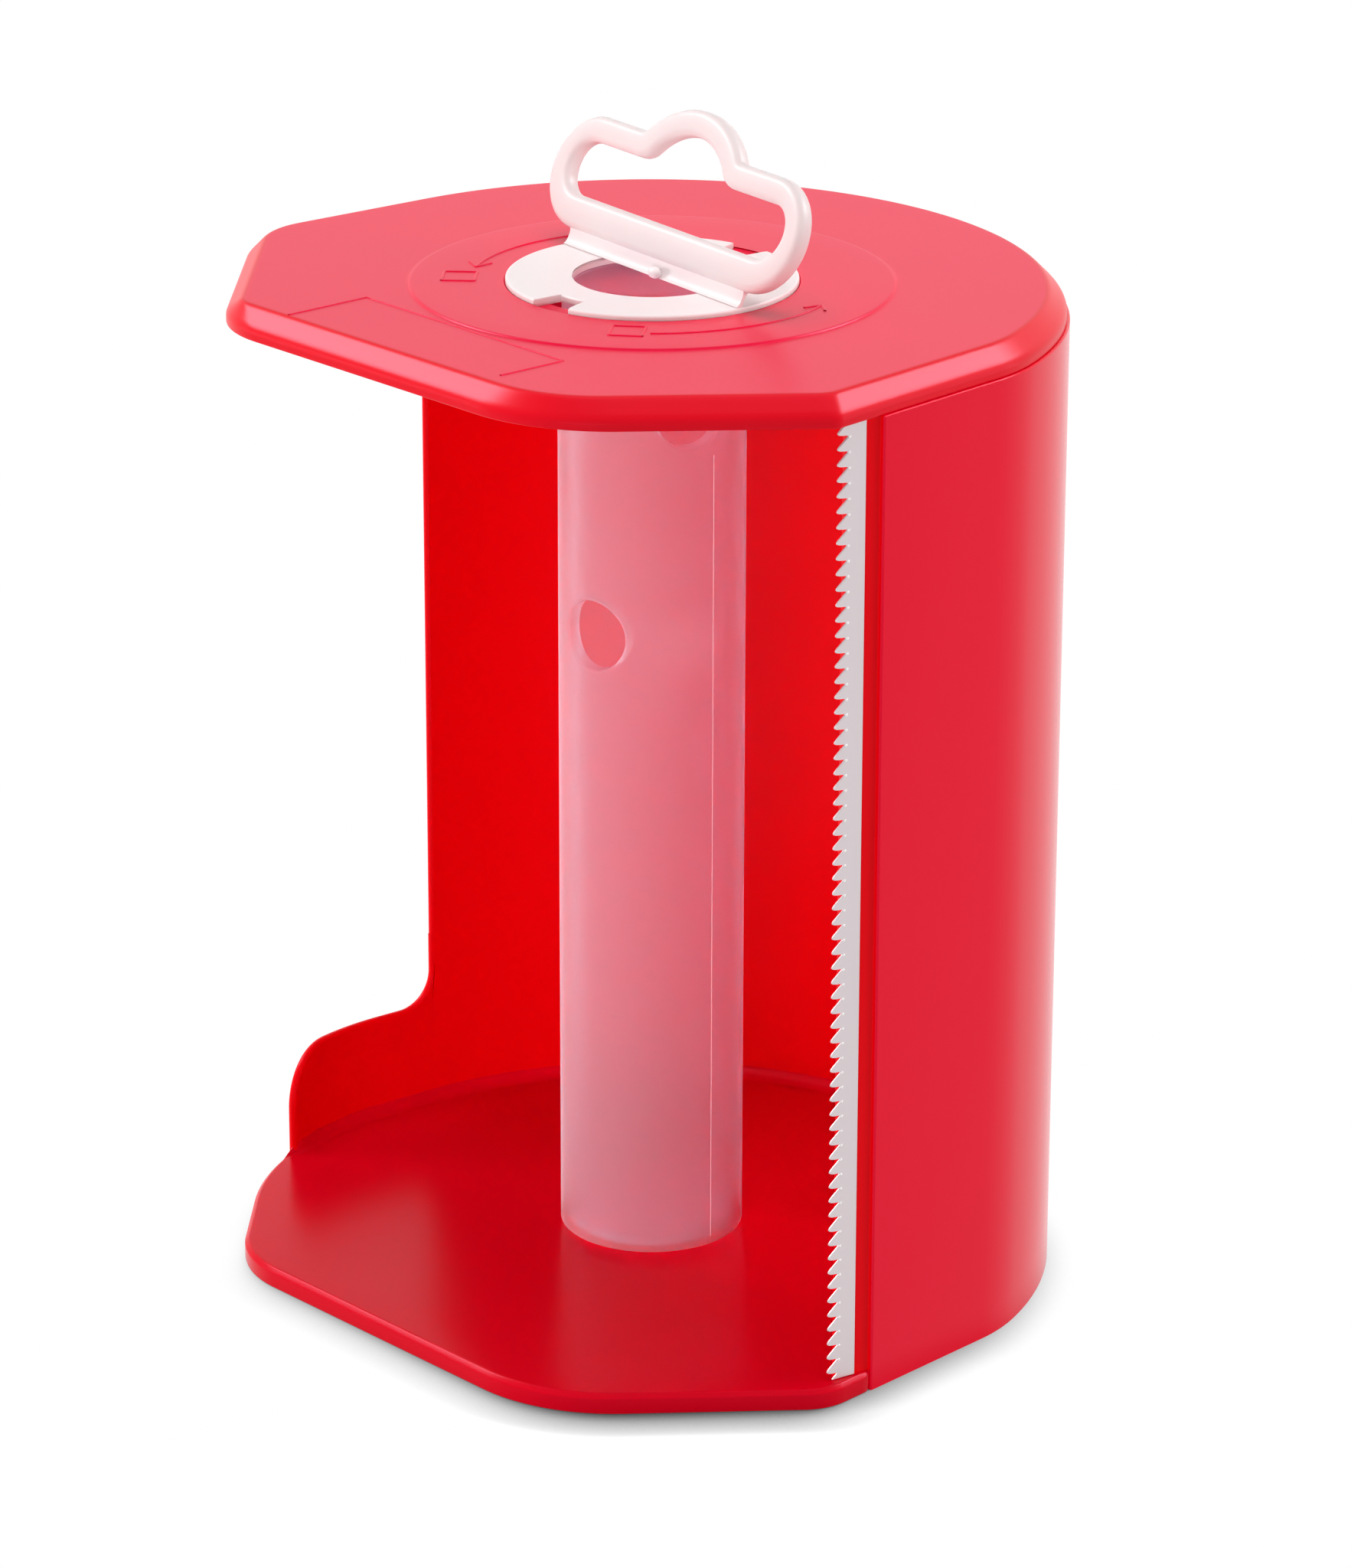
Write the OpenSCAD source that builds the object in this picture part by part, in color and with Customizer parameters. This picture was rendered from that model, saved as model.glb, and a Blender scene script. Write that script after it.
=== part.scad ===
// Masking paper dispenser: an open drum with a serrated cutter and a lift-out spindle for the roll.
// Origin on the table under the spindle's axis, +Z up, +X to the right, the open front towards -Y.

/* [Housing] */
// Height from the table to the raised disc on the top plate
body_h = 210; // [180:1:240]
// Outer radius of the drum's round back
body_r = 83.2; // [80:0.2:86]
// Thickness of the drum's wall
wall_t = 1.8; // [1.4:0.1:2.6]
// Direction, seen from above, in which the drum's wall ends on the open left side
wall_end_a = 126.7; // [110:0.1:127]
// Height of the low guard that goes on from the wall's end
guard_h = 27; // [18:0.5:40]
// Direction in which the low guard ends
guard_end_a = 155.5; // [150:0.5:162]
// Rounding of the guard's upper corner
guard_round = 14; // [6:0.5:16]
// Fillet between the guard's top and the wall's end
guard_fillet = 10; // [4:0.5:14]

/* [Plate outline] */
// Depth of the straight right-hand side below the round back
right_flat = 1.9; // [1:0.1:4]
// Direction of that side's normal
right_a = -43.5; // [-46:0.5:-40]
// Distance from the axis to the front edge
front_reach = 82.1; // [79:0.1:84]
// Direction of the front edge's normal
front_a = -86.5; // [-90:0.5:-85]
// Distance from the axis to the slanted front-left edge
slant_reach = 73.2; // [72:0.1:77]
// Direction of the slanted edge's normal
slant_a = -136.5; // [-140:0.5:-134]
// Distance from the axis to the left edge
left_reach = 84.8; // [81:0.1:86]
// Direction of the left edge's normal
left_a = 178; // [176:0.5:180]
// Direction of the back-left edge's normal, where it leaves the round back
back_a = 127.4; // [127.4:0.2:130]
// Rounding of the left-hand corner
corner_r = 25; // [6:0.5:30]
// Rounding of the corner between the slanted side and the front
slant_corner_r = 36; // [6:0.5:40]
// Rounding of the corner between the front and the right-hand side
front_corner_r = 12; // [6:0.5:16]
// Rounding of the top plate's back-left corner
back_corner_r = 22; // [10:0.5:26]
// Rounding of the base's back-left corner, along which the guard runs
base_corner_r = 60; // [40:1:64]

/* [Base plate] */
// Height of the base's floor above the table
base_h = 4.3; // [3.6:0.1:8]
// Thickness of the floor
floor_t = 2.2; // [1.6:0.1:3]
// Thickness of the rim that the base stands on
rim_t = 2.4; // [1.8:0.1:4]
// Softening of the rim's edges
rim_round = 1.2; // [0.4:0.1:1.4]

/* [Top plate] */
// Size of the bevel round the top plate
bevel = 3.7; // [2:0.1:5]
// Height of the upright band under the bevel
band_h = 2.2; // [1:0.1:4]
// Step from the drum's wall in to that band
band_step = 0.6; // [0.2:0.1:1]
// Thickness of the top plate
plate_t = 2.2; // [1.6:0.1:3]
// Radius of the raised disc round the hub
disc_r = 48.4; // [42:0.2:54]
// Height of the raised disc
disc_h = 0.4; // [0.2:0.1:0.8]
// Depth of the rib that locates the plate inside the wall
locating_rib = 4; // [2:0.5:8]
// Length of the label panel along the slanted edge
label_l = 58; // [40:1:66]
// Width of the label panel
label_w = 17; // [10:0.5:20]
// Sink of the label panel
label_sink = 0.3; // [0.2:0.1:0.6]

/* [Cutter] */
// Pitch of the teeth
tooth_pitch = 3.1; // [2:0.1:5]
// Height of the teeth
tooth_h = 2.3; // [1:0.1:3.5]
// Width of the blade behind the teeth
blade_w = 4.2; // [3:0.1:6]
// Thickness of the blade
blade_t = 0.6; // [0.3:0.1:1]
// Bare width of the seat beside the blade
seat_margin = 3.5; // [2:0.1:5]
// Step from the drum's wall in to the blade's seat
seat_step = 1; // [0.7:0.1:1.2]
// Turn of the seat towards the roll
seat_turn = 13; // [6:1:18]
// Distance of the seat's step from the middle of the right-hand side
seat_start = 20.7; // [19:0.1:25]

/* [Spindle] */
// Outer diameter of the spindle's tube
tube_d = 38; // [30:0.5:40]
// Wall of the tube
tube_wall = 3; // [2:0.1:4]
// Diameter of the cross holes
cross_d = 14.5; // [8:0.5:16]
// Direction of the lower cross hole
cross_low_a = -129; // [-180:1:180]
// Height of the lower cross hole
cross_low_z = 140; // [60:1:150]
// Direction of the upper cross hole
cross_high_a = -64; // [-180:1:180]
// Height of the upper cross hole below the raised disc
cross_high_drop = 22.5; // [20:0.5:40]
// Height of the tube's foot above the base's floor
foot_clearance = 1.8; // [0.5:0.1:3]
// Thickness of the tube's closed foot
foot_t = 2; // [1:0.1:3]

/* [Lock cap] */
// Radius of the cap's flange
flange_r = 29.3; // [27:0.1:32]
// Height of the flange above the raised disc
flange_proud = 1; // [0.6:0.1:2]
// Sink of the flange's seat below the raised disc
seat_sink = 0.6; // [0.5:0.1:3]
// Wall of the neck round the tube's end
neck_t = 2.4; // [1.6:0.1:3.5]
// Reach of the two locking lugs past the neck
lug_reach = 3.4; // [2:0.1:4]
// Width of a locking lug
lug_w = 9; // [6:0.5:12]
// Height of a locking lug
lug_h = 3.2; // [2:0.1:4]
// Direction of the lugs and of the notches above them
lug_a = -133; // [-150:1:-120]
// Depth of the notches in the flange's edge
notch_depth = 4.2; // [1.5:0.1:4.4]

/* [Handle] */
// Direction of the hinge, along a diameter of the flange
hinge_a = -53; // [-60:1:-46]
// Lean of the handle above the top plate as it stands
lean = 65; // [55:1:80]
// Width of the handle
handle_w = 81; // [70:0.5:90]
// Height of the handle's long loop
loop_h = 23.5; // [20:0.5:28]
// Thickness of the handle
handle_t = 4; // [3:0.1:4.6]
// Width of the band at the ends, the shoulders and the hump
band_w = 5.4; // [4:0.1:6.5]
// Width of the straight bar beside the hinge
bar_w = 6.9; // [5:0.1:8]
// Outer radius of the middle hump
hump_r = 20.2; // [18:0.1:24]
// Rise of the hump above the loop
hump_rise = 7.4; // [4:0.1:9]
// Softening of the handle's edges
edge_soft = 0.7; // [0.3:0.1:1]
// Height of the hinge's web
web_h = 3.2; // [2.6:0.1:5]
// Thickness of the hinge's web
web_t = 0.8; // [0.4:0.1:1]

/* [Hidden] */
$fn = 128;
// Running clearance of the cap on the tube
run_gap = 0.05;
// Clearance of pieces that pass each other
gap = 0.3;
// Overlap that lets a cut leave cleanly
eps = 0.5;
// Height of the top plate's face, round the raised disc
face_z = body_h - disc_h;
// Foot of the top plate, where the wall's upper edge meets it
lid_z = face_z - bevel - band_h;
tube_r = tube_d / 2;
bore_r = tube_r - tube_wall;
neck_r = tube_r + run_gap + neck_t;
lug_r = neck_r + lug_reach;
// Floor of the flange's seat, and the underside of the hub
seat_z = body_h - seat_sink;
hub_z = seat_z - plate_t - neck_t;
hub_r = flange_r + neck_t + plate_t;
neck_z = hub_z - gap - lug_h;
flange_z = body_h + flange_proud;
// The tube ends just under the flange and just above the floor
tube_z0 = base_h + foot_clearance;
tube_z1 = seat_z - run_gap;
// Length of the wall's upper part
wall_top = lid_z;
handle_r = loop_h / 2;

function unit(a) = [cos(a), sin(a)];

// Point where two lines meet, each given by its normal's direction and its distance from the axis
function meet(a, p, b, q) =
    [p * sin(b) - q * sin(a), q * cos(a) - p * cos(b)] / sin(b - a);

right_reach = body_r - right_flat;

// The straight sides in order round the plate: normal's direction, distance, rounding of the next corner
sides = [
    [back_a, body_r, back_corner_r],
    [left_a, left_reach, corner_r],
    [slant_a + 360, slant_reach, slant_corner_r],
    [front_a + 360, front_reach, front_corner_r],
    [right_a + 360, right_reach]
];

// Rounding of corner i: the back-left one differs between the two plates
function round_at(i, back_r) = i == 0 ? back_r : sides[i][2];

// Centre of a rounding r between side i and the next
function corner_at(i, r) = meet(sides[i][0], sides[i][1] - r, sides[i + 1][0], sides[i + 1][1] - r);

// Direction in which the right-hand side runs into the round back
function meet_a(inset) = right_a + acos((right_reach - inset) / (body_r - inset));

// Outline of a plate, drawn in by inset: a round back, straight sides and rounded corners
function arc_points(c, r, from, to, n) = [for (k = [0 : n]) c + r * unit(from + (to - from) * k / n)];
function corner_points(i, r, inset) =
    arc_points(corner_at(i, r), r - inset, sides[i][0], sides[i + 1][0], 7 * ceil(r / 40));
function outline_points(inset, back_r) = concat(
    arc_points([0, 0], body_r - inset, meet_a(inset), back_a, 48),
    [for (i = [0 : 3], p = corner_points(i, round_at(i, back_r), inset)) p]);

module plate_outline(inset, back_r = back_corner_r) {
    polygon(outline_points(inset, back_r));
}

// Plate with a bevelled upper edge: upright from z0 to z1, then drawn in by c up to z2
module bevelled_plate(inset, z0, z1, z2, c, back_r = back_corner_r) {
    hull() {
        translate([0, 0, z0])
            linear_extrude(z1 - z0)
                plate_outline(inset, back_r);
        translate([0, 0, z1])
            linear_extrude(z2 - z1)
                plate_outline(inset + c, back_r);
    }
}

// Pie slice of the plan between two directions less than a half turn apart
module pie(from, to, r = 2 * body_r) {
    mid = (from + to) / 2;
    polygon([[0, 0], r * unit(from), r * 1.5 * unit(mid), r * unit(to)]);
}

// The drum's plan: round back with the straight right-hand side
module drum_plan(inset) {
    intersection() {
        circle(r = body_r - inset);
        rotate(right_a)
            translate([right_reach - inset - 3 * body_r, -2 * body_r])
                square([3 * body_r, 4 * body_r]);
    }
}

// The open side of the plan, from the given direction round the front to the blade's seat
module open_side(from) {
    far = 3 * body_r;
    rotate(right_a)
        polygon(concat(
            [[0, 0]],
            [for (a = [from, 180, 225, 270]) far * unit(a - right_a)],
            [[far, -seat_start - far], [far, -seat_start], [right_reach / 2, -seat_start]]));
}

module wall_plan(end_a) {
    difference() {
        drum_plan(0);
        drum_plan(wall_t);
        open_side(end_a);
    }
}

// Frame of the blade's seat: X along the seat towards the front, Y inwards, from the seat's step
module at_seat() {
    rotate(right_a)
        translate([right_reach - seat_step, -seat_start])
            rotate(-90 - seat_turn)
                mirror([0, 1])
                    children();
}

// Width of the seat: it ends just short of the teeth's roots
seat_w = seat_margin + blade_w - gap;
seat_t = wall_t + gap;

// The seat behind the blade, with the thickened end of the wall that carries it
module seat_plan() {
    at_seat() {
        square([seat_w, seat_t]);
        polygon([[0, 0], [seat_margin, seat_t], [0, seat_t], [-seat_t, seat_t], [-seat_t, 0.2]]);
    }
}

// Low wall along the base's edge, with the guard's profile
module guard() {
    intersection() {
        linear_extrude(guard_h + guard_fillet)
            intersection() {
                plate_outline(0, base_corner_r);
                guard_room();
            }
        guard_profile();
    }
}

// Plan outside the guard's inner face, between the wall's end and the guard's
module guard_room() {
    difference() {
        pie(wall_end_a - 0.5, guard_end_a);
        plate_outline(wall_t, base_corner_r);
    }
}

// Length along the wall of one degree of the drum
deg_l = PI * body_r / 180;

// Profile of the guard, seen from outside along a radius: round end, level top, fillet to the wall
module guard_profile() {
    round_a = guard_end_a - guard_round / deg_l / 2;
    fillet_a = wall_end_a + guard_fillet / deg_l / 2;
    end_x = guard_round / 2;
    difference() {
        rotate(round_a)
            radial_slab(-4 * body_r, end_x + eps, 0, guard_h + guard_fillet + eps);
        rotate(round_a)
            difference() {
                radial_slab(end_x - guard_round, end_x + 2 * eps, guard_h - guard_round, guard_h + guard_fillet + 1);
                radial_pin(end_x - guard_round, guard_h - guard_round, guard_round);
                radial_slab(end_x - guard_round - 1, end_x - guard_round, 0, guard_h);
            }
        rotate(fillet_a)
            difference() {
                radial_slab(-guard_fillet / 2, 4 * body_r, guard_h, guard_h + guard_fillet + 1);
                difference() {
                    radial_slab(-guard_fillet / 2, guard_fillet / 2, guard_h, guard_h + guard_fillet);
                    radial_pin(guard_fillet / 2, guard_h + guard_fillet, guard_fillet);
                }
            }
    }
}

// Box across the wall at direction 0: from x0 to x1 along the wall, from z0 to z1
module radial_slab(x0, x1, z0, z1) {
    translate([0, x0, z0])
        cube([2 * body_r, x1 - x0, z1 - z0]);
}

// Round bar across the wall at direction 0
module radial_pin(x, z, r) {
    translate([0, x, z])
        rotate([0, 90, 0])
            cylinder(h = 2 * body_r, r = r);
}

module wall_shell() {
    color("#d8121f") {
        linear_extrude(wall_top) {
            wall_plan(wall_end_a);
        }
        translate([0, 0, base_h])
            linear_extrude(wall_top - base_h)
                seat_plan();
        guard();
    }
}

module base_plate() {
    color("#d8121f")
        difference() {
            bevelled_plate(0, 0, base_h - rim_round, base_h, rim_round, base_corner_r);
            // room for the wall and the guard, which reach down to the table
            translate([0, 0, -eps])
                linear_extrude(base_h + 2 * eps) {
                    difference() {
                        circle(r = 2 * body_r);
                        drum_plan(wall_t);
                        open_side(wall_end_a);
                    }
                    guard_room();
                }
            // hollow under the floor
            translate([0, 0, -eps])
                linear_extrude(base_h - floor_t + eps)
                    plate_outline(wall_t + rim_t, base_corner_r);
        }
}

// Plan of the two lugs, or of their slots with a clearance
module lug_plan(clearance) {
    intersection() {
        circle(r = lug_r + clearance);
        rotate(lug_a)
            square([3 * lug_r, lug_w + 2 * clearance], center = true);
    }
}

// The label panel's place: beside the slanted edge, inside the bevel
module at_label() {
    rotate(slant_a)
        translate([slant_reach - band_step - bevel - label_w / 2 - gap, 0, face_z])
            rotate(90)
                children();
}

module top_plate() {
    color("#e0303f")
        difference() {
            union() {
                difference() {
                    bevelled_plate(band_step, lid_z, lid_z + band_h, face_z, bevel);
                    translate([0, 0, lid_z - eps])
                        linear_extrude(band_h + eps)
                            plate_outline(band_step + plate_t);
                    translate([0, 0, lid_z - eps])
                        linear_extrude(face_z - plate_t - lid_z + eps)
                            plate_outline(band_step + bevel);
                }
                translate([0, 0, face_z - eps])
                    cylinder(h = disc_h + eps, r = disc_r);
                translate([0, 0, hub_z])
                    cylinder(h = face_z - hub_z, r = hub_r);
                // rib that stands inside the wall's upper edge
                translate([0, 0, lid_z - locating_rib])
                    linear_extrude(locating_rib + band_h)
                        intersection() {
                            difference() {
                                circle(r = body_r - wall_t - gap);
                                circle(r = body_r - wall_t - gap - wall_t);
                            }
                            pie(meet_a(0) + 6, wall_end_a - 6);
                        }
            }
            translate([0, 0, seat_z])
                cylinder(h = seat_sink + eps, r = flange_r + gap);
            translate([0, 0, hub_z - eps])
                cylinder(h = seat_z - hub_z + 2 * eps, r = neck_r + gap);
            translate([0, 0, hub_z - eps])
                linear_extrude(seat_z - hub_z + 2 * eps)
                    lug_plan(gap);
            at_label()
                translate([-label_l / 2, -label_w / 2, -label_sink])
                    cube([label_l, label_w, 1]);
        }
}

// One tooth from its root down to the next: a sloping upper flank, a blunt tip, a level lower flank
tooth = [[0, 0], [0.2, 0.06], [0.88, 0.6], [1, 0.7], [0.98, 0.82], [0.86, 0.88], [0.18, 0.9]];

// The blade stands between the base's floor and the top plate's foot
blade_l = lid_z - base_h;
tooth_n = floor(blade_l / tooth_pitch);

module cutter_blade() {
    top = (blade_l - tooth_n * tooth_pitch) / 2;
    edge = [for (k = [0 : tooth_n - 1], p = tooth)
        [seat_margin + blade_w + p[0] * tooth_h, lid_z - top - (k + p[1]) * tooth_pitch]];
    color("#d2cccc")
        at_seat()
            rotate([90, 0, 0])
                linear_extrude(blade_t)
                    polygon(concat(
                        [[seat_margin, lid_z], [seat_margin + blade_w, lid_z]],
                        edge,
                        [[seat_margin + blade_w, base_h], [seat_margin, base_h]]));
}

module cross_hole(a, z) {
    translate([0, 0, z])
        rotate([0, 90, a])
            cylinder(h = 2 * tube_d, d = cross_d);
}

module spindle_tube() {
    color("#f4c9ce")
        difference() {
            translate([0, 0, tube_z0])
                cylinder(h = tube_z1 - tube_z0, r = tube_r);
            translate([0, 0, tube_z0 + foot_t])
                cylinder(h = body_h, r = bore_r);
            cross_hole(cross_low_a, cross_low_z);
            cross_hole(cross_high_a, body_h - cross_high_drop);
        }
}

module lock_cap() {
    color("#fbe9ea")
        difference() {
            union() {
                translate([0, 0, seat_z])
                    cylinder(h = flange_z - seat_z, r = flange_r);
                translate([0, 0, neck_z])
                    cylinder(h = seat_z - neck_z, r = neck_r);
                translate([0, 0, neck_z])
                    linear_extrude(lug_h)
                        lug_plan(0);
            }
            translate([0, 0, neck_z - eps])
                cylinder(h = seat_z - neck_z + eps, r = tube_r + run_gap);
            cylinder(h = flange_z + eps, r = bore_r);
            for (side = [0, 180])
                rotate(lug_a + side)
                    translate([flange_r - notch_depth, -lug_w / 2, seat_z - eps])
                        cube([2 * notch_depth, lug_w, flange_z]);
        }
}

// Frame of the handle: X along the hinge, Y up the handle, from the hinge's foot on the flange
module at_handle() {
    translate([0, 0, flange_z])
        rotate([0, 0, hinge_a])
            rotate([lean, 0, 0])
                children();
}

// Long loop with round ends, drawn in by inset
module long_loop(width, low, high, inset) {
    r = (high - low) / 2 - inset;
    hull_w = width / 2 - (high - low) / 2;
    translate([-hull_w, low + inset])
        square([2 * hull_w, 2 * r]);
    for (side = [-1, 1])
        translate([side * hull_w, low + inset + r])
            circle(r = r);
}

// Half disc of the hump, above the given height
module hump(r, low) {
    top = web_h + loop_h + hump_rise;
    intersection() {
        translate([0, top - hump_r])
            circle(r = r);
        translate([-2 * hump_r, low])
            square([4 * hump_r, 4 * hump_r]);
    }
}

module handle_plan(inset) {
    difference() {
        union() {
            long_loop(handle_w, web_h, web_h + loop_h, inset);
            hump(hump_r - inset, web_h + handle_r);
        }
        long_loop(handle_w - 2 * band_w, web_h + bar_w, web_h + loop_h - band_w, -inset);
        hump(hump_r - band_w + inset, web_h + bar_w + edge_soft);
    }
}

module carry_handle() {
    color("#fdf0f0")
        at_handle() {
            translate([0, 0, -handle_t / 2 + edge_soft])
                linear_extrude(handle_t - 2 * edge_soft)
                    handle_plan(0);
            translate([0, 0, -handle_t / 2])
                linear_extrude(handle_t)
                    handle_plan(edge_soft);
        }
}

module hinge_web() {
    color("#f6dadd")
        intersection() {
            at_handle()
                translate([-flange_r, -web_t, -web_t / 2])
                    cube([2 * flange_r, web_h + web_t, web_t]);
            translate([-2 * flange_r, -2 * flange_r, flange_z])
                cube(4 * flange_r);
        }
}

base_plate();
wall_shell();
top_plate();
cutter_blade();
spindle_tube();
lock_cap();
hinge_web();
carry_handle();
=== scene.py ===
import math
import bpy
import numpy as np
from mathutils import Matrix


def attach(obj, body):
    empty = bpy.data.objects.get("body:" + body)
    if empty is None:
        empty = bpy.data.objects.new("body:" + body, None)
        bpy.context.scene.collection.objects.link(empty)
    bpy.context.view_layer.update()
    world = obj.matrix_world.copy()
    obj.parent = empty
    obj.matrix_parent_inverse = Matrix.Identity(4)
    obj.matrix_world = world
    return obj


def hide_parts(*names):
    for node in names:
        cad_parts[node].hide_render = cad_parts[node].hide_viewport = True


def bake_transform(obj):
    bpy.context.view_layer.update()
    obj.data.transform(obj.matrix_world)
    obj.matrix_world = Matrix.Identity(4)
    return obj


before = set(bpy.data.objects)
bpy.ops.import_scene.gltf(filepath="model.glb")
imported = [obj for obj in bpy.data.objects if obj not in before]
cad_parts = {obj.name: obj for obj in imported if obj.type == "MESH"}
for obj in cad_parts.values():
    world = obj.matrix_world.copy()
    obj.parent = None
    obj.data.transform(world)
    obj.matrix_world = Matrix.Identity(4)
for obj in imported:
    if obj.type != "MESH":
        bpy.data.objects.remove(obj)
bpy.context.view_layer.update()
scene = bpy.context.scene
print("stage: frame loaded")


toMetres = 0.001


# lengths are in millimetres, z is up, and the spindle's axis is at x = y = 0; a direction as a unit vector
def unit(deg):
    a = np.radians(deg)
    return np.stack([np.cos(a), np.sin(a)], -1)


# one piece: smooth faces, with a crease where two of them meet more sharply than the given angle
def addMesh(name, verts, faces, body, nodes, material, sharp=35.0):
    mesh = bpy.data.meshes.new(name)
    places = (np.asarray(verts, float) * toMetres).tolist()
    mesh.from_pydata(places, [], [list(map(int, f)) for f in faces])
    mesh.validate()
    mesh.update()
    mesh.polygons.foreach_set("use_smooth", np.ones(len(mesh.polygons), bool))
    mesh.set_sharp_from_angle(angle=math.radians(sharp))
    obj = bpy.data.objects.new(name, mesh)
    scene.collection.objects.link(obj)
    mesh.materials.append(material)
    if body:
        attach(obj, body)
    if nodes:
        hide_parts(*nodes)
    return obj


# quads of a grid of points, row by row; either way round it may close on itself
def gridFaces(rows, cols, loopRows=False, loopCols=False, start=0):
    i = np.arange(rows if loopRows else rows - 1)
    j = np.arange(cols if loopCols else cols - 1)
    i, j = np.meshgrid(i, j, indexing="ij")
    a = i * cols + j
    b = i * cols + (j + 1) % cols
    c = ((i + 1) % rows) * cols + (j + 1) % cols
    d = ((i + 1) % rows) * cols + j
    return (np.stack([a, b, c, d], -1).reshape(-1, 4) + start).tolist()


# the two end faces of a stack of closed rows, the first one turned round
def endFaces(rows, cols):
    return [list(range(cols))[::-1], list(range(cols * (rows - 1), cols * rows))]


# quads between two closed rows, each given by the numbers of its points
def bandFaces(lower, upper):
    return np.stack([lower, np.roll(lower, -1), np.roll(upper, -1), upper], -1)


# a quarter turn of an edge's rounding: pairs (in, down) from the face to the side, as shares of the radius
def quarter(n=5):
    t = np.linspace(0, math.pi / 2, n)
    return np.stack([1 - np.sin(t), 1 - np.cos(t)], -1)


# rounds the corners of a path: each corner is cut back along both legs and bridged by an arc
def roundPath(points, radii, closed=True, n=6):
    pts = [np.asarray(p, float) for p in points]
    out = []
    count = len(pts)
    for i, p in enumerate(pts):
        r = radii[i]
        if r <= 0 or (not closed and i in (0, count - 1)):
            out.append(p)
            continue
        a = pts[i - 1] - p
        b = pts[(i + 1) % count] - p
        la, lb = np.linalg.norm(a), np.linalg.norm(b)
        a, b = a / la, b / lb
        half = math.acos(max(-1, min(1, float(a @ b)))) / 2
        cut = min(r / math.tan(half), 0.48 * la, 0.48 * lb)
        rr = cut * math.tan(half)
        mid = (a + b) / np.linalg.norm(a + b)
        c = p + mid * rr / math.sin(half)
        s = p + a * cut - c
        e = p + b * cut - c
        ang0 = math.atan2(s[1], s[0])
        turn = math.atan2(s[0] * e[1] - s[1] * e[0], float(s @ e))
        t = ang0 + turn * np.arange(n + 1) / n
        out += list(c + rr * np.stack([np.cos(t), np.sin(t)], -1))
    return np.array(out)


# red finishes as (colour, roughness, gloss), their sheen, and the natural plastic with the share it lets through;
# the darker reds of the lid's bevel and of the base are painted shade, and the blue in the outside, lid and base
# reds is a painted reflection tint
plastic = {
    "wall": ((0.82, 0.0005, 0.02), 0.17, 0.22),
    "lid": ((0.82, 0.001, 0.042), 0.33, 0.28),
    "edge": ((0.74, 0.0004, 0.008), 0.3, 0.26),
    "inside": ((0.82, 0.0003, 0.003), 0.3, 0.15),
    "floor": ((0.68, 0.0003, 0.012), 0.24, 0.12),
    "redIor": 1.49, "sheen": (1.0, 0.55, 0.85),
    "natural": (0.95, 0.83, 0.92), "frost": 0.75, "frostIor": 1.12,
    "through": {"wall": 0.87, "bore": 0.98, "foot": 0.88, "neck": 0.85},
}


def principled(name, **values):
    m = bpy.data.materials.new(name)
    m.use_nodes = True
    shader = next(n for n in m.node_tree.nodes if n.type == "BSDF_PRINCIPLED")
    for key, value in values.items():
        shader.inputs[key].default_value = value
    return m


# one red: polished outside, satin on the lid, plainer on the lid's bevel, the inner side and the base; the bevel's
# and the base's copies are darker as painted shade, and the outside and lid copies carry a painted bluish reflection
# tint
wallRed, lidRed, shadedEdgeRed, insideRed, shadedFloorRed = (principled(f"red_{k}", **{
    "Base Color": (*plastic[k][0], 1), "Roughness": plastic[k][1], "Specular IOR Level": plastic[k][2],
    "IOR": plastic["redIor"], "Specular Tint": (*plastic["sheen"], 1),
}) for k in ("wall", "lid", "edge", "inside", "floor"))
# frosted natural plastic, tinted pink as painted red bounce light; the share of light that goes through differs for
# tube wall, bore, foot and cap's neck
naturalPlastic, borePlastic, footPlastic, neckPlastic = (principled(f"natural_{k}", **{
    "Base Color": (*plastic["natural"], 1), "Roughness": plastic["frost"], "IOR": plastic["frostIor"],
    "Transmission Weight": plastic["through"][k],
}) for k in ("wall", "bore", "foot", "neck"))
# the cap's plastic, tinted pink as painted red bounce light
capPlastic = principled("cap_plastic", **{
    "Base Color": (0.98, 0.88, 0.88, 1), "Roughness": 0.36, "IOR": 1.45, "Alpha": 0.92})
# the handle's plastic is a darker copy of the cap's, painted shade against the strong light on it, and its pink tint
# is painted red bounce light
shadedHandlePlastic = principled("shaded_handle_plastic", **{
    "Base Color": (0.75, 0.67, 0.67, 1), "Roughness": 0.36, "IOR": 1.45,
    "Subsurface Weight": 0.6, "Subsurface Radius": (0.005, 0.004, 0.004), "Subsurface Scale": 1.0, "Alpha": 0.9})
# the steel's pink tint is a painted reflection of the red drum
bladeSteel = principled("blade_steel", **{
    "Base Color": (0.72, 0.64, 0.66, 1), "Roughness": 0.42, "Metallic": 0.4})
# near-white steel for the painted highlights at the teeth's roots
glintSteel = principled("root_glint_steel", **{
    "Base Color": (0.97, 0.94, 0.94, 1), "Roughness": 0.3})
print("stage: materials")


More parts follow.
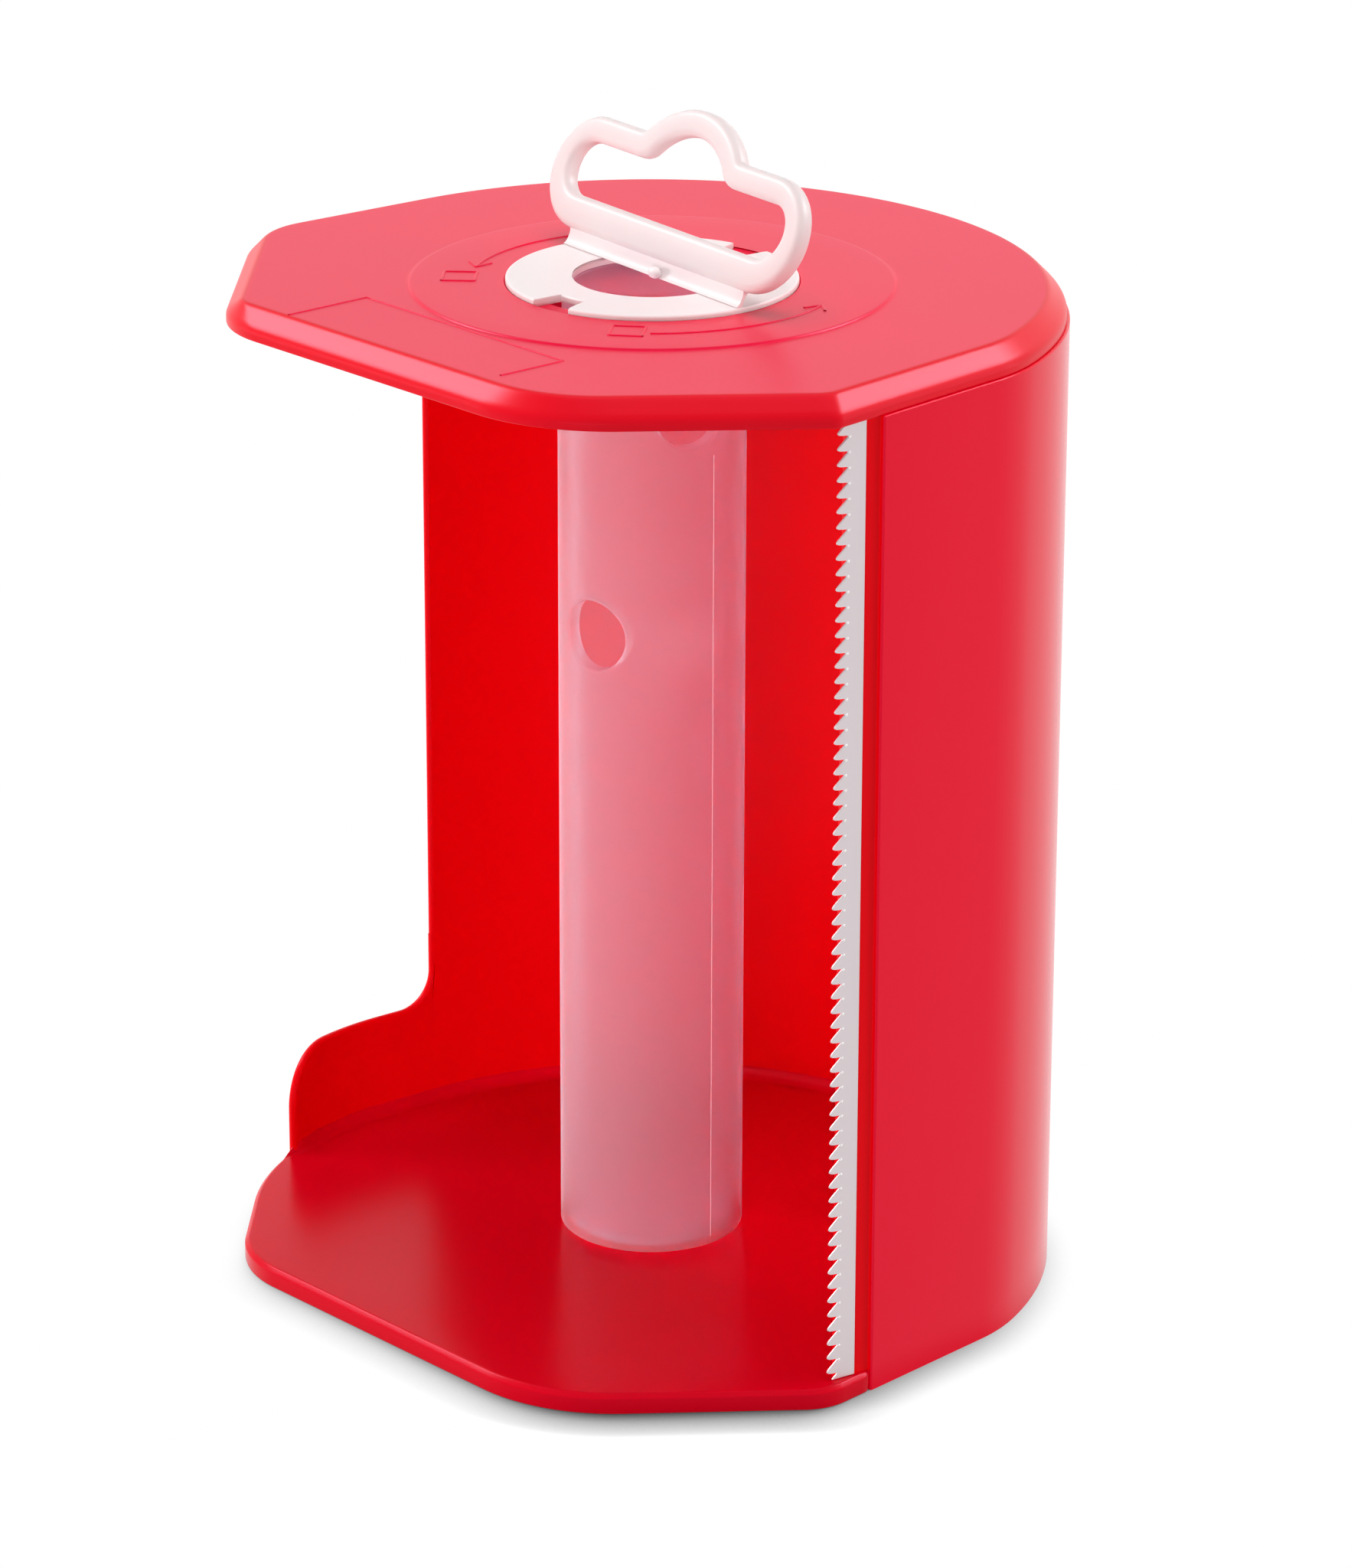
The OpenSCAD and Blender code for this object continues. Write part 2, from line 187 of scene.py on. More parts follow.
# plate outline, shared by base, wall and top plate: each straight side as (direction, distance from the axis)
plan = {
    "round": 83.2, "blend": 40.0, "rightA": -43.5, "rightReach": 81.3,
    "sides": [(127.4, 83.2), (178.0, 84.8), (223.5, 73.2), (273.5, 82.1), (316.5, 81.3)],
    "corners": [22.0, 25.0, 36.0, 12.0], "baseCorners": [60.0, 25.0, 36.0, 12.0],
    "seatStart": 20.7, "backSteps": 260, "cornerSteps": 36, "sideSteps": 32,
}
blendA = plan["rightA"] + math.degrees(math.acos(
    (plan["rightReach"] - plan["blend"]) / (plan["round"] - plan["blend"])))
blendC = (plan["round"] - plan["blend"]) * unit(blendA)


# where two lines meet, each given by its normal's direction and its distance from the axis
def meet(a, p, b, q):
    return np.linalg.solve(np.array([unit(a), unit(b)]), np.array([p, q]))


# the outline as a loop of points: round back, straight side, corner, straight side ... all moved in by inset;
# corners may be given their own radii at that inset
def outline(inset=0.0, corners=None):
    s = plan["sides"]
    radii = [r - inset for r in plan["corners"]] if corners is None else corners
    out = [(plan["round"] - inset) * unit(np.linspace(blendA, s[0][0], plan["backSteps"]))]
    last = out[0][-1]
    share = (np.arange(1, plan["sideSteps"]) / plan["sideSteps"])[:, None]
    for i in range(5):
        if i < 4:
            r, to = radii[i], s[i + 1][0]
            c = meet(s[i][0], s[i][1] - inset - r, to, s[i + 1][1] - inset - r)
        else:
            r, to, c = plan["blend"] - inset, blendA + 360, blendC
        arc = c + r * unit(np.linspace(s[i][0], to, plan["cornerSteps"]))
        out.append(last + (arc[0] - last) * share)
        out.append(arc if i < 4 else arc[:-1])
        last = arc[-1]
    return np.concatenate(out)


# directions of the outline's points from the axis, taken a little inside the edge
outlineA = np.degrees(np.arctan2(*outline(5.0).T[::-1]))
outlineN = len(outlineA)


# a loop at a distance from the axis, with one point in each of those directions
def ring(radius, z):
    r = np.broadcast_to(radius, (outlineN,))
    return np.column_stack([unit(outlineA) * r[:, None], np.full(outlineN, z)])


# a loop along the outline, moved in by inset
def edge(inset, z):
    return np.column_stack([outline(inset), np.full(outlineN, z)])


# base plate; the wall and the guard stand on it from the blade's seat round the back to the guard's end
seatA = plan["rightA"] - math.degrees(math.atan2(plan["seatStart"], plan["rightReach"]))
base = {"floorZ": 4.3, "bevel": 0.9, "rim": 2.4, "floor": 2.2, "cove": 2.5, "wall": 1.8, "guardEnd": 155.5,
        "sideZ": 0.6, "under": 0.3}


# the base's own outline, with a wider corner at the guard
def baseLine(inset):
    return outline(inset, [r - inset for r in plan["baseCorners"]])


# loops of points from the middle over the floor to the edge and back underneath; the edge is either the open rim,
# upright with a bevel, or the cove at the foot of the wall and guard, by the direction seen from the axis
def buildBase():
    b, z, t = base, base["floorZ"], base["wall"]
    angle = np.degrees(np.arctan2(*baseLine(t).T[::-1]))
    walled = 1.0 * ((angle > seatA) & (angle < b["guardEnd"]))
    walled = np.convolve(np.r_[walled[-1:], walled, walled[:1]], np.ones(3) / 3, "valid")[:, None]
    corner = [(t + b["cove"] + 4, z), (b["bevel"], z), (0, z - b["bevel"]), (0, b["sideZ"])]
    openRim = roundPath(corner, [0, 0.7, 0.5, 0], False, 6)
    turn = np.radians(np.linspace(0, 90, len(openRim) - 3))
    cove = np.column_stack([t + b["cove"] * (1 - np.sin(turn)), z + b["cove"] * (1 - np.cos(turn))])
    hidden = t - b["under"]  # the cove's top and its back lie inside the wall
    cove = np.concatenate([[corner[0]], cove, [(hidden, z + b["cove"]), (hidden, b["sideZ"])]])
    foot = np.array([(0.12, 0.15), (0.5, 0.0), (b["rim"], 0.0), (b["rim"] + 0.2, 0.2),
                     (b["rim"] + 0.4, z - b["floor"])])
    openRim = np.concatenate([openRim, foot])
    cove = np.concatenate([cove, foot + [t, 0]])
    loops = [ring(r, z) for r in (0.5, 20.0, 40.0, 60.0)]
    for (i0, z0), (i1, z1) in zip(openRim, cove):
        height = z0 + (z1 - z0) * walled
        loops.append(np.column_stack([baseLine(i0) * (1 - walled) + baseLine(i1) * walled, height]))
    loops += [ring(r, z - b["floor"]) for r in (60.0, 0.5)]
    faces = gridFaces(len(loops), outlineN, False, True) + endFaces(len(loops), outlineN)
    # the base takes the darker copy of the red, painted shade
    return addMesh("base_skin", np.concatenate(loops), faces, "housing", ["base_plate"], shadedFloorRed)


buildBase()
print("stage: base")

# drum wall with the blade's seat, and the low guard
drum = {"thick": 1.8, "endA": 126.7, "topZ": 203.7, "topSoft": 0.25, "topDrop": 0.6,
        "seatStep": 1.0, "seatTurn": 13.0, "seatW": 7.4, "seatT": 2.1, "seatSide": 9.0,
        "guardTop": 27.0, "guardRise": 16.0, "guardRound": 14.0, "guardFillet": 10.0}
rightN = unit(plan["rightA"])
rightD = unit(plan["rightA"] - 90)
seatO = rightN * (plan["rightReach"] - drum["seatStep"]) + rightD * plan["seatStart"]
seatX = unit(plan["rightA"] - 90 - drum["seatTurn"])
seatY = np.array([seatX[1], -seatX[0]])


# plan path: outer face from the seat's step round the back to the left edge, half round, inner face back to the seat
def buildWall():
    d, t = drum, drum["thick"]
    corner = rightN * plan["rightReach"] + rightD * plan["seatStart"]
    r, rb = plan["round"], plan["blend"]
    endTurn = math.degrees(t / 2 / r)
    arcA = np.linspace(blendA, d["endA"] - endTurn, 300)
    blendArc = np.linspace(plan["rightA"], blendA, 40)
    outer = np.concatenate([blendC + rb * unit(blendArc), r * unit(arcA[1:])])
    inner = np.concatenate([blendC + (rb - t) * unit(blendArc), (r - t) * unit(arcA[1:])])[::-1]
    endC = (r - t / 2) * unit(arcA[-1])
    end = endC + t / 2 * unit(np.linspace(arcA[-1], arcA[-1] + 180, 15)[1:-1])
    seat = [(0.5, d["seatT"]), (d["seatW"], d["seatT"]), (d["seatW"], 0), (0, 0)]
    seatPts = [seatO + x * seatX + y * seatY for x, y in seat]
    innerEnd = rightN * (plan["rightReach"] - t) + rightD * (plan["seatStart"] - 7)
    pts = [*outer, *end, *inner, innerEnd, *seatPts, corner]
    radii = [0] * (len(outer) + len(end) + len(inner)) + [2, 1.5, 0.4, 0.25, 0.25, 0.45]
    path = roundPath(pts, radii)
    n = len(path)
    # the seat stands on the base's floor, the rest of the wall reaches the ground
    low = np.zeros(n)
    local = (path - seatO) @ np.stack([seatX, rightN], 1)
    isSeat = (local[:, 0] > -0.2) & ((path @ rightD) > plan["seatStart"] + 0.05)
    low[isSeat] = base["floorZ"]
    tangent = np.roll(path, -1, 0) - np.roll(path, 1, 0)
    tangent /= np.linalg.norm(tangent, axis=1)[:, None]
    away = np.column_stack([tangent[:, 1], -tangent[:, 0]])
    high, soft = d["topZ"] - d["topDrop"], d["topSoft"]
    rows = [np.column_stack([path, low + (high - low) * k]) for k in (0.0, 0.02, 0.3, 0.5, 0.75, 1.0)]
    for c, q in quarter(4)[::-1]:
        rows.append(np.column_stack([path - away * soft * (1 - q), np.full(n, d["topZ"] - soft * (1 - c))]))
    verts = np.concatenate(rows)
    faces = gridFaces(len(rows), n, False, True) + endFaces(len(rows), n)
    skin = addMesh("wall_skin", verts, faces, "housing", ["wall_shell"], wallRed, 50)
    skin.data.materials.append(insideRed)
    # the inner side runs from the middle of the left edge to the seat; the last corner's arc is outside again
    innerFace = np.arange(n) >= len(outer) + len(end) // 2
    innerFace &= path @ rightD < plan["seatStart"] + d["seatSide"]
    innerFace[-7:] = False
    sides = np.r_[np.tile(innerFace, len(rows) - 1), 0, 0]
    skin.data.polygons.foreach_set("material_index", sides.astype(np.int32))
    return skin


# rim path in (length along the wall, height), and for each of its points a section: outer face, half-round rim,
# inner face
def buildGuard():
    d, t = drum, drum["thick"]
    line = baseLine(t / 2)
    inward = baseLine(t / 2 + 1) - line
    angle = np.degrees(np.arctan2(line[:, 1], line[:, 0]))
    first = int(np.argmin(np.abs(angle - d["endA"])))
    run = np.linalg.norm(np.diff(line, axis=0), axis=1)
    along = np.r_[0, np.cumsum(run)]
    along -= along[first]
    length = float(np.interp(base["guardEnd"], angle[first:first + 90], along[first:first + 90]))
    pts = [(0, d["guardTop"] + d["guardRise"]), (0, d["guardTop"]), (length, d["guardTop"]), (length, 0.3)]
    rim = roundPath(pts, [0, d["guardFillet"], d["guardRound"], 0], False, 24)
    seg = np.linalg.norm(np.diff(rim, axis=0), axis=1)
    s = np.r_[0, np.cumsum(seg)]
    u = np.linspace(0, s[-1], 160)
    rim = np.column_stack([np.interp(u, s, rim[:, 0]), np.interp(u, s, rim[:, 1])])
    tangent = np.gradient(rim, axis=0)
    tangent /= np.linalg.norm(tangent, axis=1)[:, None]
    out = np.column_stack([-tangent[:, 1], tangent[:, 0]])
    foot = np.column_stack([np.linspace(-1.2, length - t / 2, len(rim)), np.full(len(rim), 0.2)])
    foot[-1] = rim[-1] - out[-1] * t / 2
    phi = np.linspace(-math.pi / 2, math.pi / 2, 11)
    core = rim - out * t / 2
    rows = [(core + (foot - core) * k, -t / 2) for k in (1.0, 0.66, 0.33, 0.05)]
    rows += [(rim + out * (t / 2) * (math.cos(p) - 1), t / 2 * math.sin(p)) for p in phi]
    rows += [(core + (foot - core) * k, t / 2) for k in (0.05, 0.33, 0.66, 1.0)]
    verts = []
    for p, depth in rows:
        place = np.column_stack([np.interp(p[:, 0], along, line[:, k]) for k in (0, 1)])
        side = np.column_stack([np.interp(p[:, 0], along, inward[:, k]) for k in (0, 1)])
        verts.append(np.column_stack([place + side * depth, p[:, 1]]))
    return addMesh("guard_skin", np.concatenate(verts), gridFaces(len(rows), len(rim), True, False),
                   "housing", [], insideRed, 60)


buildWall()
buildGuard()
print("stage: wall")

# top plate
lid = {"z": 203.7, "step": 0.6, "bevel": 3.7, "faceZ": 209.6, "disc": 48.4, "discZ": 210.0,
       "seat": 29.6, "seatZ": 209.4, "hub": 33.9, "hubZ": 204.8, "hole": 21.75, "slot": 25.2, "slotW": 9.6,
       "lugA": -133.0, "thick": 2.2, "faceCorners": [16.0, 6.0, 26.0, 6.0], "bandCorners": [21.4, 24.0, 35.0, 4.0],
       "faceSoft": 0.6, "faceMargin": 1.2, "bandSoft": 1.0, "seatSoft": 0.3}


# hole radius by direction: the two slots for the cap's lugs
def slotRadius(a, r, slotR, width):
    turn = np.abs((a - lid["lugA"] + 90) % 180 - 90)
    return np.where(turn < math.degrees(math.asin(width / 2 / slotR)), slotR, r)


# loops of points from the hub's hole up over the seat, the raised disc, the face and the bevel, and back inside;
# the bevel's loops lie between the face's edge, with tight corners, and the band's edge, with wide ones
def buildLid():
    d = lid
    hole = slotRadius(outlineA, d["hole"], d["slot"], d["slotW"])
    top, inset = d["faceZ"], d["step"] + d["bevel"]
    foot = top - d["bevel"]
    face = outline(inset, d["faceCorners"])
    inner = outline(inset + d["faceMargin"], [r - 1.0 for r in d["faceCorners"]])
    band = outline(d["step"], d["bandCorners"])
    bandIn = outline(d["step"] + 1, [max(r - 1, 0.5) for r in d["bandCorners"]])

    def at(points, z):
        return np.column_stack([points, np.full(outlineN, z)])

    # a share of the way down the slope, from the face's edge (0) to the band's edge (1)
    def slope(k):
        return at(face + (band - face) * k, top - d["bevel"] * k)

    # two legs and the softened turn between them, as points of a curve with the turn's own point as its pole
    def turn(a, pole, b, n=6):
        t = np.linspace(0, 1, n)
        return [(1 - u) ** 2 * a + 2 * u * (1 - u) * pole + u * u * b for u in t]

    loops = [ring(hole, d["hubZ"]), ring(hole, d["seatZ"] - 0.2), ring(hole + 0.2, d["seatZ"])]
    s = d["seatSoft"]
    loops += [ring(d["seat"] - 0.4, d["seatZ"]), ring(d["seat"], d["seatZ"] + s), ring(d["seat"], d["discZ"] - s)]
    loops += [ring(d["seat"] + s * (1 - c), d["discZ"] - s * q) for c, q in quarter(4)[::-1]]
    loops += [ring(d["seat"] + 0.7, d["discZ"]), ring(40, d["discZ"]), ring(d["disc"] - 0.5, d["discZ"])]
    loops += [ring(d["disc"] - 0.12, d["discZ"] - 0.02), ring(d["disc"], d["discZ"] - 0.1)]
    loops += [ring(d["disc"] + 0.1, top + 0.1), ring(d["disc"] + 0.3, top), ring(d["disc"] + 1, top)]
    loops += [0.5 * (ring(d["disc"] + 1, top) + at(inner, top)), at(inner, top)]
    first = len(loops)
    k = d["faceSoft"] / d["faceMargin"]
    loops += turn(at(face + (inner - face) * k, top), at(face, top), slope(d["faceSoft"] / d["bevel"]))
    loops += [slope(0.3), slope(0.7)]
    k = d["bandSoft"]
    loops += turn(slope(1 - k / d["bevel"]), at(band, foot), at(band, foot - k), 5)
    loops += [at(band, d["z"] + 0.4)]
    loops += turn(at(band, d["z"] + 0.25), at(band, d["z"]), at(band + (bandIn - band) * 0.25, d["z"]), 4)
    last = len(loops)
    skirt, under = d["step"] + d["thick"], top - d["thick"]
    loops += [edge(skirt, d["z"]), edge(skirt + 0.2, d["z"] + 0.3)]
    loops += [edge(skirt + 0.3, foot), edge(inset + 0.8, under - 0.3)]
    loops += [edge(inset + 1.2, under), ring(d["hub"] + 0.5, under)]
    loops += [ring(d["hub"], under - 0.4), ring(d["hub"], d["hubZ"] + 0.3), ring(d["hub"] - 0.3, d["hubZ"])]
    verts = np.concatenate(loops)
    skin = addMesh("lid_skin", verts, gridFaces(len(loops), outlineN, True, True),
                   "housing", ["top_plate"], lidRed, 40)
    # the bevel and its band take the darker copy of the red, painted shade
    skin.data.materials.append(shadedEdgeRed)
    row = np.arange(len(loops))
    bevelRows = np.repeat((row >= first) & (row < last), outlineN)
    skin.data.polygons.foreach_set("material_index", bevelRows.astype(np.int32))
    return skin


buildLid()


# a low ridge along a path on the plate's face: half an ellipse across, carried along the path
def buildRidge(name, path, width, height, z, closed=False):
    p = np.asarray(path, float)
    if closed:
        tangent = np.roll(p, -1, 0) - np.roll(p, 1, 0)
    else:
        tangent = np.gradient(p, axis=0)
    tangent /= np.linalg.norm(tangent, axis=1)[:, None]
    side = np.column_stack([-tangent[:, 1], tangent[:, 0]])
    t = np.linspace(0, math.pi, 7)
    rise = z - 0.02 + height * np.sin(t)
    across = width / 2 * np.cos(t)
    rows = [np.column_stack([p + side * x, np.full(len(p), h)]) for x, h in zip(across, rise)]
    faces = gridFaces(len(rows), len(p), False, closed)
    return addMesh(name, np.concatenate(rows), [f[::-1] for f in faces], "housing", [], lidRed, 60)


# a path through the points, cut into equal steps
def polyline(points, step=1.0):
    p = np.asarray(points, float)
    s = np.r_[0, np.cumsum(np.linalg.norm(np.diff(p, axis=0), axis=1))]
    u = np.linspace(0, s[-1], max(3, int(s[-1] / step)))
    return np.column_stack([np.interp(u, s, p[:, 0]), np.interp(u, s, p[:, 1])])


label = {"corners": [(-70.9, -24.7), (-56.3, -12.1), (-16.4, -55.2), (-28.1, -65.0)],
         "line": 0.6, "height": 0.22}
buildRidge("label_frame", polyline(label["corners"]), label["line"], label["height"], lid["faceZ"])
marks = {"arcs": [(36.5, 118, 166), (38.0, -90, -28)], "squares": [(38.5, 177), (36.5, -97)], "side": 6.6,
         "head": 4.0, "spread": 35.0, "line": 0.7, "height": 0.25}


# a turning arrow is an arc with a two-stroke head; each stands beside a plain square
def buildMarks():
    m = marks
    size = (m["line"], m["height"], lid["discZ"])
    for k, (r, fromA, toA) in enumerate(m["arcs"]):
        buildRidge(f"turn_arc_{k}", r * unit(np.linspace(fromA, toA, 50)), *size)
        tip, back = r * unit(toA), toA - 90
        strokes = [tip + m["head"] * unit(back + turn) for turn in (-m["spread"], m["spread"])]
        buildRidge(f"turn_head_{k}", polyline([strokes[0], tip, strokes[1]], 0.5), *size)
    for k, (r, a) in enumerate(m["squares"]):
        across, along = unit(a) * m["side"] / 2, unit(a + 90) * m["side"] / 2
        c = r * unit(a)
        corners = [c + across + along, c - across + along, c - across - along, c + across - along]
        buildRidge(f"square_{k}", polyline([*corners, corners[0]], 0.5), *size)


buildMarks()
print("stage: top plate")

# cutter blade
blade = {"margin": 3.5, "width": 4.2, "tooth": 2.3, "pitch": 3.1, "thick": 0.4, "low": 4.5, "high": 203.9,
         "ground": 0.15, "land": 0.4, "toothSteps": 32}


# one tooth seen along the blade: sloping upper flank, blunt tip, level lower flank and a small round root
def toothHeight(phase):
    x = np.array([0, 0.04, 0.1, 0.2, 0.35, 0.55, 0.64, 0.7, 0.76, 0.81, 0.85, 0.88, 0.9, 0.92, 0.96, 1.0])
    y = np.array([-0.05, 0.02, 0.12, 0.28, 0.52, 0.83, 0.94, 0.985, 1.0, 0.97, 0.88, 0.6, 0.3, 0.05, -0.04, -0.05])
    return np.interp(phase, x, y)


# a section across the blade, with its front edge moved by the tooth's height, carried down the blade
def buildBlade():
    d = blade
    count = int((d["high"] - d["low"]) / d["pitch"])
    z = np.linspace(d["high"], d["low"], count * d["toothSteps"] + 1)
    phase = ((d["high"] - z) / d["pitch"]) % 1.0
    tip = d["margin"] + d["width"] + d["tooth"] * toothHeight(phase)
    n = len(z)
    back, front, bevel = d["margin"], -d["thick"], d["ground"]
    root = back + d["width"] - d["land"]
    rows = [(back, 0.0), (back, front + 0.1), (back + 0.1, front), (root, front),
            (tip - bevel, front), (tip, front + bevel), (tip, 0.0), (root, 0.0)]
    verts = [np.column_stack([seatO + np.broadcast_to(x, n)[:, None] * seatX + y * seatY, z]) for x, y in rows]
    faces = gridFaces(len(rows), n, True, False)
    k = len(rows)
    faces += [[i * n for i in range(k)], [i * n + n - 1 for i in range(k)][::-1]]
    return addMesh("blade_skin", np.concatenate(verts), faces,
                   "housing", ["cutter_blade"], bladeSteel, 30)


buildBlade()
dots = {"radius": 0.32, "inset": 0.35, "rise": 0.14}


# a painted highlight at each tooth's root, drawn as a bright low dome of rings, repeated down the blade
def buildDots():
    d, b = dots, blade
    a, h = np.meshgrid(np.radians(np.arange(0, 360, 40)), np.linspace(0, 1, 4), indexing="xy")
    flat = d["radius"] * np.sqrt(1 - 0.96 * h ** 2)
    dome = np.stack([flat * np.cos(a), flat * np.sin(a), d["rise"] * h], -1).reshape(-1, 3)
    z = b["high"] - b["pitch"] * np.arange(1, int((b["high"] - b["low"]) / b["pitch"]))
    across = b["margin"] + b["width"] - d["inset"] + dome[:, 0]
    ground = seatO + across[:, None] * seatX - (b["thick"] + dome[:, 2:]) * seatY
    verts = np.concatenate([np.tile(ground, (len(z), 1)), (z[:, None] + dome[None, :, 1]).reshape(-1, 1)], 1)
    rows, cols = a.shape
    start = np.arange(len(z)) * len(dome)
    sides = np.array(gridFaces(rows, cols, False, True))
    tops = np.arange(cols * (rows - 1), cols * rows)
    faces = (start[:, None, None] + sides).reshape(-1, 4).tolist() + (start[:, None] + tops).tolist()
    return addMesh("root_dots", verts, faces, "housing", [], glintSteel, 60)


buildDots()
print("stage: blade")

# spindle tube with its two cross holes, each as (direction, height); the window is the part of the grid round a hole
tube = {"outer": 19.0, "inner": 16.0, "low": 6.1, "foot": 2.0, "high": 209.3, "soft": 0.5, "hole": 7.25, "lip": 0.7,
        "holes": [(-129.0, 140.0), (-64.0, 187.5)], "window": 33.0, "windowZ": 11.5, "around": 240}


# a grid round the axis, with a window left out about each hole; rings from the window's edge run in to the hole,
# over its rounded lip, through the wall, and out again to the window on the inside
def buildTube():
    d, cols = tube, tube["around"]
    step = 360 / cols
    holes = sorted(((round(a / step) * step, z) for a, z in d["holes"]), key=lambda h: h[1])
    half = int(round(d["window"] / step))
    zs = [d["low"] + d["soft"]]
    windowRows = []
    for a, z in holes:
        lo, hi = z - d["windowZ"], z + d["windowZ"]
        zs += list(np.linspace(zs[-1], lo, 9)[1:])
        first = len(zs) - 1
        zs += list(np.linspace(lo, hi, 21)[1:])
        windowRows.append((first, len(zs) - 1))
    zs += list(np.linspace(zs[-1], d["high"] - d["soft"], 6)[1:])
    zs = np.array(zs)
    theta = np.arange(cols) * step - 180
    skip = np.zeros((len(zs) - 1, cols), bool)
    windows = []
    for (a, z), (r0, r1) in zip(holes, windowRows):
        c0 = int(round((a + 180) / step)) - half
        cells = (np.arange(c0, c0 + 2 * half)) % cols
        skip[r0:r1, cells] = True
        windows.append((a, z, r0, r1, c0))
    verts, faces = [], []
    count = 0
    grids = []
    for radius in (d["outer"], d["inner"]):
        x, y = radius * unit(theta).T
        verts.append(np.stack(np.broadcast_arrays(x, y, zs[:, None]), -1).reshape(-1, 3))
        index = np.arange(len(zs) * cols).reshape(-1, cols) + count
        grids.append(index)
        count += index.size
        i, j = np.nonzero(~skip)
        q = np.stack([index[i, j], index[i, (j + 1) % cols], index[i + 1, (j + 1) % cols], index[i + 1, j]], -1)
        faces += (q if radius == d["outer"] else q[:, ::-1]).tolist()
    # rounded ends
    for end, row, up in ((d["low"], 0, -1), (d["high"], len(zs) - 1, 1)):
        rings = []
        for c, q in quarter(4)[::-1][1:]:
            rings.append((d["outer"] - d["soft"] * c, end - up * d["soft"] * q))
        for c, q in quarter(4)[:-1]:
            rings.append((d["inner"] + d["soft"] * c, end - up * d["soft"] * q))
        chain = [grids[0][row]]
        for r, z in rings:
            verts.append(np.column_stack([unit(theta) * r, np.full(cols, z)]))
            chain.append(np.arange(cols) + count)
            count += cols
        chain.append(grids[1][row])
        for lower, upper in zip(chain[:-1], chain[1:]):
            q = bandFaces(lower, upper)
            faces += (q if up > 0 else q[:, ::-1]).tolist()
    # the holes
    for a, z0, r0, r1, c0 in windows:
        cc = np.arange(c0, c0 + 2 * half + 1)
        loop = [(r0, c) for c in cc[:-1]] + [(r, cc[-1]) for r in range(r0, r1)]
        loop += [(r1, c) for c in cc[:0:-1]] + [(r, cc[0]) for r in range(r1, r0, -1)]
        rr = np.array([r for r, c in loop])
        ca = np.array([c for r, c in loop])
        dA = ca * step - 180 - a
        dZ = zs[rr] - z0
        sides, bearings = [], []
        for radius, lip in ((d["outer"], d["lip"]), (d["inner"], 0.0)):
            phi = np.arctan2(dZ, np.radians(dA) * radius)
            hole = d["hole"] + lip
            hA = np.degrees(np.arcsin(hole * np.cos(phi) / radius))
            hZ = hole * np.sin(phi)
            rings = []
            for s in (0.62, 0.34, 0.16, 0.05, 0.0):
                ang = a + dA * s + hA * (1 - s)
                rings.append(np.column_stack([unit(ang) * radius, z0 + dZ * s + hZ * (1 - s)]))
            sides.append(rings)
            bearings.append(phi)
        axis, tang = unit(a), unit(a + 90)
        phi = bearings[0]
        middle = []
        for c, q in quarter(5)[1:]:
            hole = d["hole"] + d["lip"] * c
            x = hole * np.cos(phi)
            y = np.sqrt(d["outer"] ** 2 - x ** 2) - d["lip"] * q
            middle.append(np.column_stack([axis * y[:, None] + tang * x[:, None], z0 + hole * np.sin(phi)]))
        chain = [grids[0][rr, ca % cols]]
        rows = sides[0] + middle + sides[1][::-1]
        for p in rows:
            verts.append(p)
            chain.append(np.arange(len(p)) + count)
            count += len(p)
        chain.append(grids[1][rr, ca % cols])
        for lower, upper in zip(chain[:-1], chain[1:]):
            faces += bandFaces(lower, upper).tolist()
    verts = np.concatenate(verts)
    faces = np.array(faces)
    radius = np.hypot(verts[:, 0], verts[:, 1])
    # the bore and the underside are a piece of their own, which lets more light through
    under = (verts[:, 2] < d["low"] + 0.6 * d["soft"]) & (radius < d["outer"] - 0.2)
    inside = ((radius < d["inner"] + 0.05) | under)[faces].all(1)
    for name, part, nodes, material in (("tube_skin", faces[~inside], ["spindle_tube"], naturalPlastic),
                                        ("tube_bore", faces[inside], [], borePlastic)):
        used, index = np.unique(part, return_inverse=True)
        addMesh(name, verts[used], index.reshape(-1, 4), "spindle", nodes, material, 50)


# the closed foot: a disc that fills the bore
def buildFoot():
    d, cols = tube, 96
    turn = unit(np.arange(cols) * 360 / cols)
    rows = [(d["inner"] - 0.4, d["low"] + 0.05), (d["inner"] + 0.05, d["low"] + 0.4),
            (d["inner"] + 0.05, d["low"] + d["foot"] + 0.5), (d["inner"] - 0.5, d["low"] + d["foot"])]
    verts = np.concatenate([np.column_stack([turn * r, np.full(cols, z)]) for r, z in rows])
    faces = gridFaces(len(rows), cols, False, True) + endFaces(len(rows), cols)
    return addMesh("tube_foot", verts, faces, "spindle", [], footPlastic)


parting = {"angle": -49.0, "low": 8.0, "high": 178.0, "wide": 0.16, "proud": 0.08}


# the mould's parting line: half an ellipse across, carried up the tube
def buildParting():
    d = parting
    rows, cols = 5, 60
    t = np.linspace(0, math.pi, rows)[:, None]
    z = np.linspace(d["low"], d["high"], cols)[None, :]
    angle = d["angle"] + np.degrees(d["wide"] / 2 * np.cos(t) / tube["outer"]) + 0 * z
    radius = tube["outer"] - 0.02 + d["proud"] * np.sin(t) + 0 * z
    verts = np.concatenate([unit(angle) * radius[..., None], (z + 0 * t)[..., None]], -1).reshape(-1, 3)
    faces = gridFaces(rows, cols)
    return addMesh("parting_line", verts, faces, "spindle", [], capPlastic, 60)


buildTube()
buildFoot()
buildParting()
print("stage: tube")

